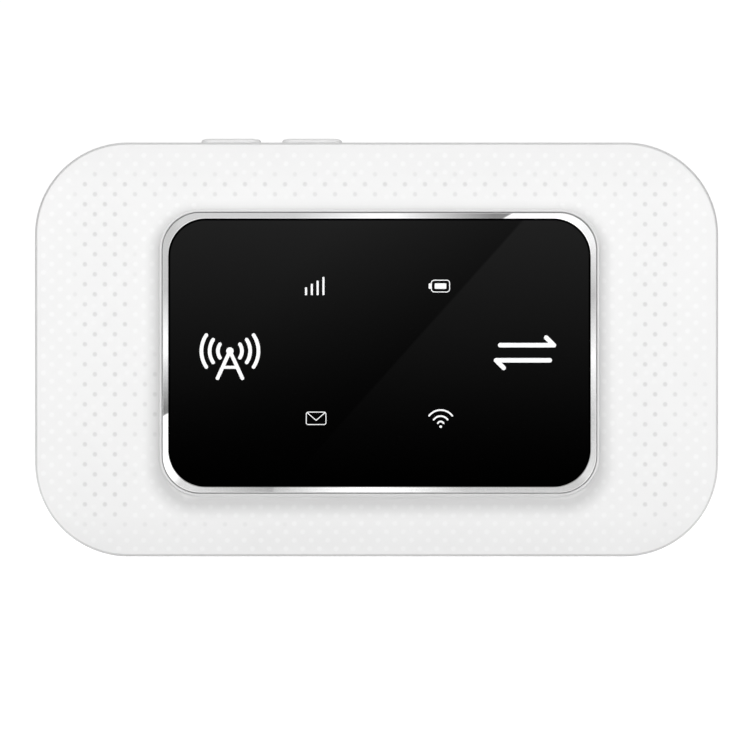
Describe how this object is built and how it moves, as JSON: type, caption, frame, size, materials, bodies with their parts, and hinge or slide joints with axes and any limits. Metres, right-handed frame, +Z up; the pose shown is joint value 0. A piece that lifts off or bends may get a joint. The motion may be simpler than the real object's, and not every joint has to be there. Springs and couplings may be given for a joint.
{
  "type": "mobile hotspot",
  "caption": "Pocket mobile hotspot: a flat white case with rounded corners, a chrome-framed black status window, push buttons on top and a lift-off battery door.",
  "frame": {"origin": "centre of the flat bottom edge, at mid-depth, with the hotspot standing on its long bottom edge", "axes": "+X to the right seen from the front, +Y from the window to the battery door, +Z up towards the two buttons"},
  "size_m": [0.0996, 0.014, 0.0609],
  "materials": {
    "case_white": "satin white with a staggered grid of small dots",
    "door_white": "fine matt-moulded white",
    "chassis_black": "moulded black, fine spark texture",
    "bezel_chrome": "bright plated plastic",
    "window_black": "polished piano black",
    "tape": "black foam tape",
    "clear_guide": "clear moulded acrylic",
    "baffle_rubber": "black silicone rubber",
    "led_body": "pale resin lamps",
    "board_green": "green solder mask over copper",
    "shield_steel": "tinned steel sheet",
    "thermal_grey": "soft grey silicone",
    "chip_black": "moulded black epoxy",
    "crystal_metal": "plated metal can",
    "passive_ceramic": "tan ceramic with tinned ends",
    "inductor_grey": "dark pressed ferrite",
    "button_white": "satin white",
    "switch_steel": "bright steel cover",
    "plunger_black": "moulded black",
    "socket_steel": "nickel-plated folded steel",
    "socket_plastic": "moulded black",
    "contact_gold": "gold-plated",
    "card_cage": "thin stainless sheet",
    "card_white": "printed card plastic with a gold contact area",
    "battery_wrap": "printed film over an aluminium can",
    "battery_cap_black": "moulded black",
    "connector_black": "moulded black",
    "antenna_copper": "copper film",
    "screw_steel": "zinc-plated steel",
    "icon_white": "screen-printed white"
  },
  "bodies": {
    "case": {"front_cover": "case_white", "mid_frame": "chassis_black", "bezel_ring": "bezel_chrome", "window_panel": "window_black", "window_adhesive": "tape", "light_guides": "clear_guide", "light_baffle": "baffle_rubber", "status_leds": "led_body", "main_board": "board_green", "modem_shield": "shield_steel", "radio_shield": "shield_steel", "thermal_pad": "thermal_grey", "modem_chip": "chip_black", "memory_chip": "chip_black", "radio_chip": "chip_black", "wifi_chip": "chip_black", "power_chip": "chip_black", "crystal": "crystal_metal", "amplifier_chips": "chip_black", "board_passives": "passive_ceramic", "inductors": "inductor_grey", "power_switch": "switch_steel", "pairing_switch": "switch_steel", "reset_switch": "switch_steel", "usb_shell": "socket_steel", "usb_tongue": "socket_plastic", "usb_contacts": "contact_gold", "sim_socket": "card_cage", "sd_socket": "card_cage", "battery_connector": "connector_black", "battery_blades": "contact_gold", "main_antenna": "antenna_copper", "second_antenna": "antenna_copper", "wifi_antenna": "antenna_copper", "antenna_pins": "contact_gold", "case_screws": "screw_steel", "signal_icon": "icon_white", "battery_icon": "icon_white", "message_icon": "icon_white", "wifi_icon": "icon_white", "mast_mark": "icon_white", "data_mark": "icon_white"},
    "power_button": {"power_button": "button_white"},
    "pairing_button": {"pairing_button": "button_white"},
    "power_plunger": {"power_plunger": "plunger_black"},
    "pairing_plunger": {"pairing_plunger": "plunger_black"},
    "reset_plunger": {"reset_plunger": "plunger_black"},
    "back_cover": {"back_cover": "door_white"},
    "battery": {"battery_pack": "battery_wrap", "battery_cap": "battery_cap_black", "battery_pads": "contact_gold"},
    "sim_card": {"sim_card": "card_white"}
  },
  "joints": [
    {"name": "power_button_press", "type": "slide", "parent": "case", "child": "power_button", "axis": [0, 0, -1], "range_m": [0, 0.00035], "stiffness_N_per_m": 2, "springref_m": -0.005},
    {"name": "pairing_button_press", "type": "slide", "parent": "case", "child": "pairing_button", "axis": [0, 0, -1], "range_m": [0, 0.00035], "stiffness_N_per_m": 2, "springref_m": -0.005},
    {"name": "power_plunger_press", "type": "slide", "parent": "case", "child": "power_plunger", "axis": [0, 0, -1], "range_m": [0, 0.00035]},
    {"name": "pairing_plunger_press", "type": "slide", "parent": "case", "child": "pairing_plunger", "axis": [0, 0, -1], "range_m": [0, 0.00035]},
    {"name": "reset_press", "type": "slide", "parent": "case", "child": "reset_plunger", "axis": [0, -1, 0], "range_m": [0, 0.00025], "stiffness_N_per_m": 0.2, "springref_m": -0.005},
    {"name": "back_cover_lift", "type": "slide", "parent": "case", "child": "back_cover", "axis": [0, 1, 0], "range_m": [0, 0.03]},
    {"name": "battery_lift", "type": "slide", "parent": "case", "child": "battery", "axis": [0, 1, 0], "range_m": [0, 0.015]},
    {"name": "sim_card_slide", "type": "slide", "parent": "case", "child": "sim_card", "axis": [0, 0, 1], "range_m": [0, 0.012]}
  ],
  "couplings": [
    {"joint": "power_plunger_press", "follows": "power_button_press", "ratio": 1},
    {"joint": "pairing_plunger_press", "follows": "pairing_button_press", "ratio": 1},
    {"joint": "battery_lift", "follows": "back_cover_lift", "ratio": 0.5}
  ]
}
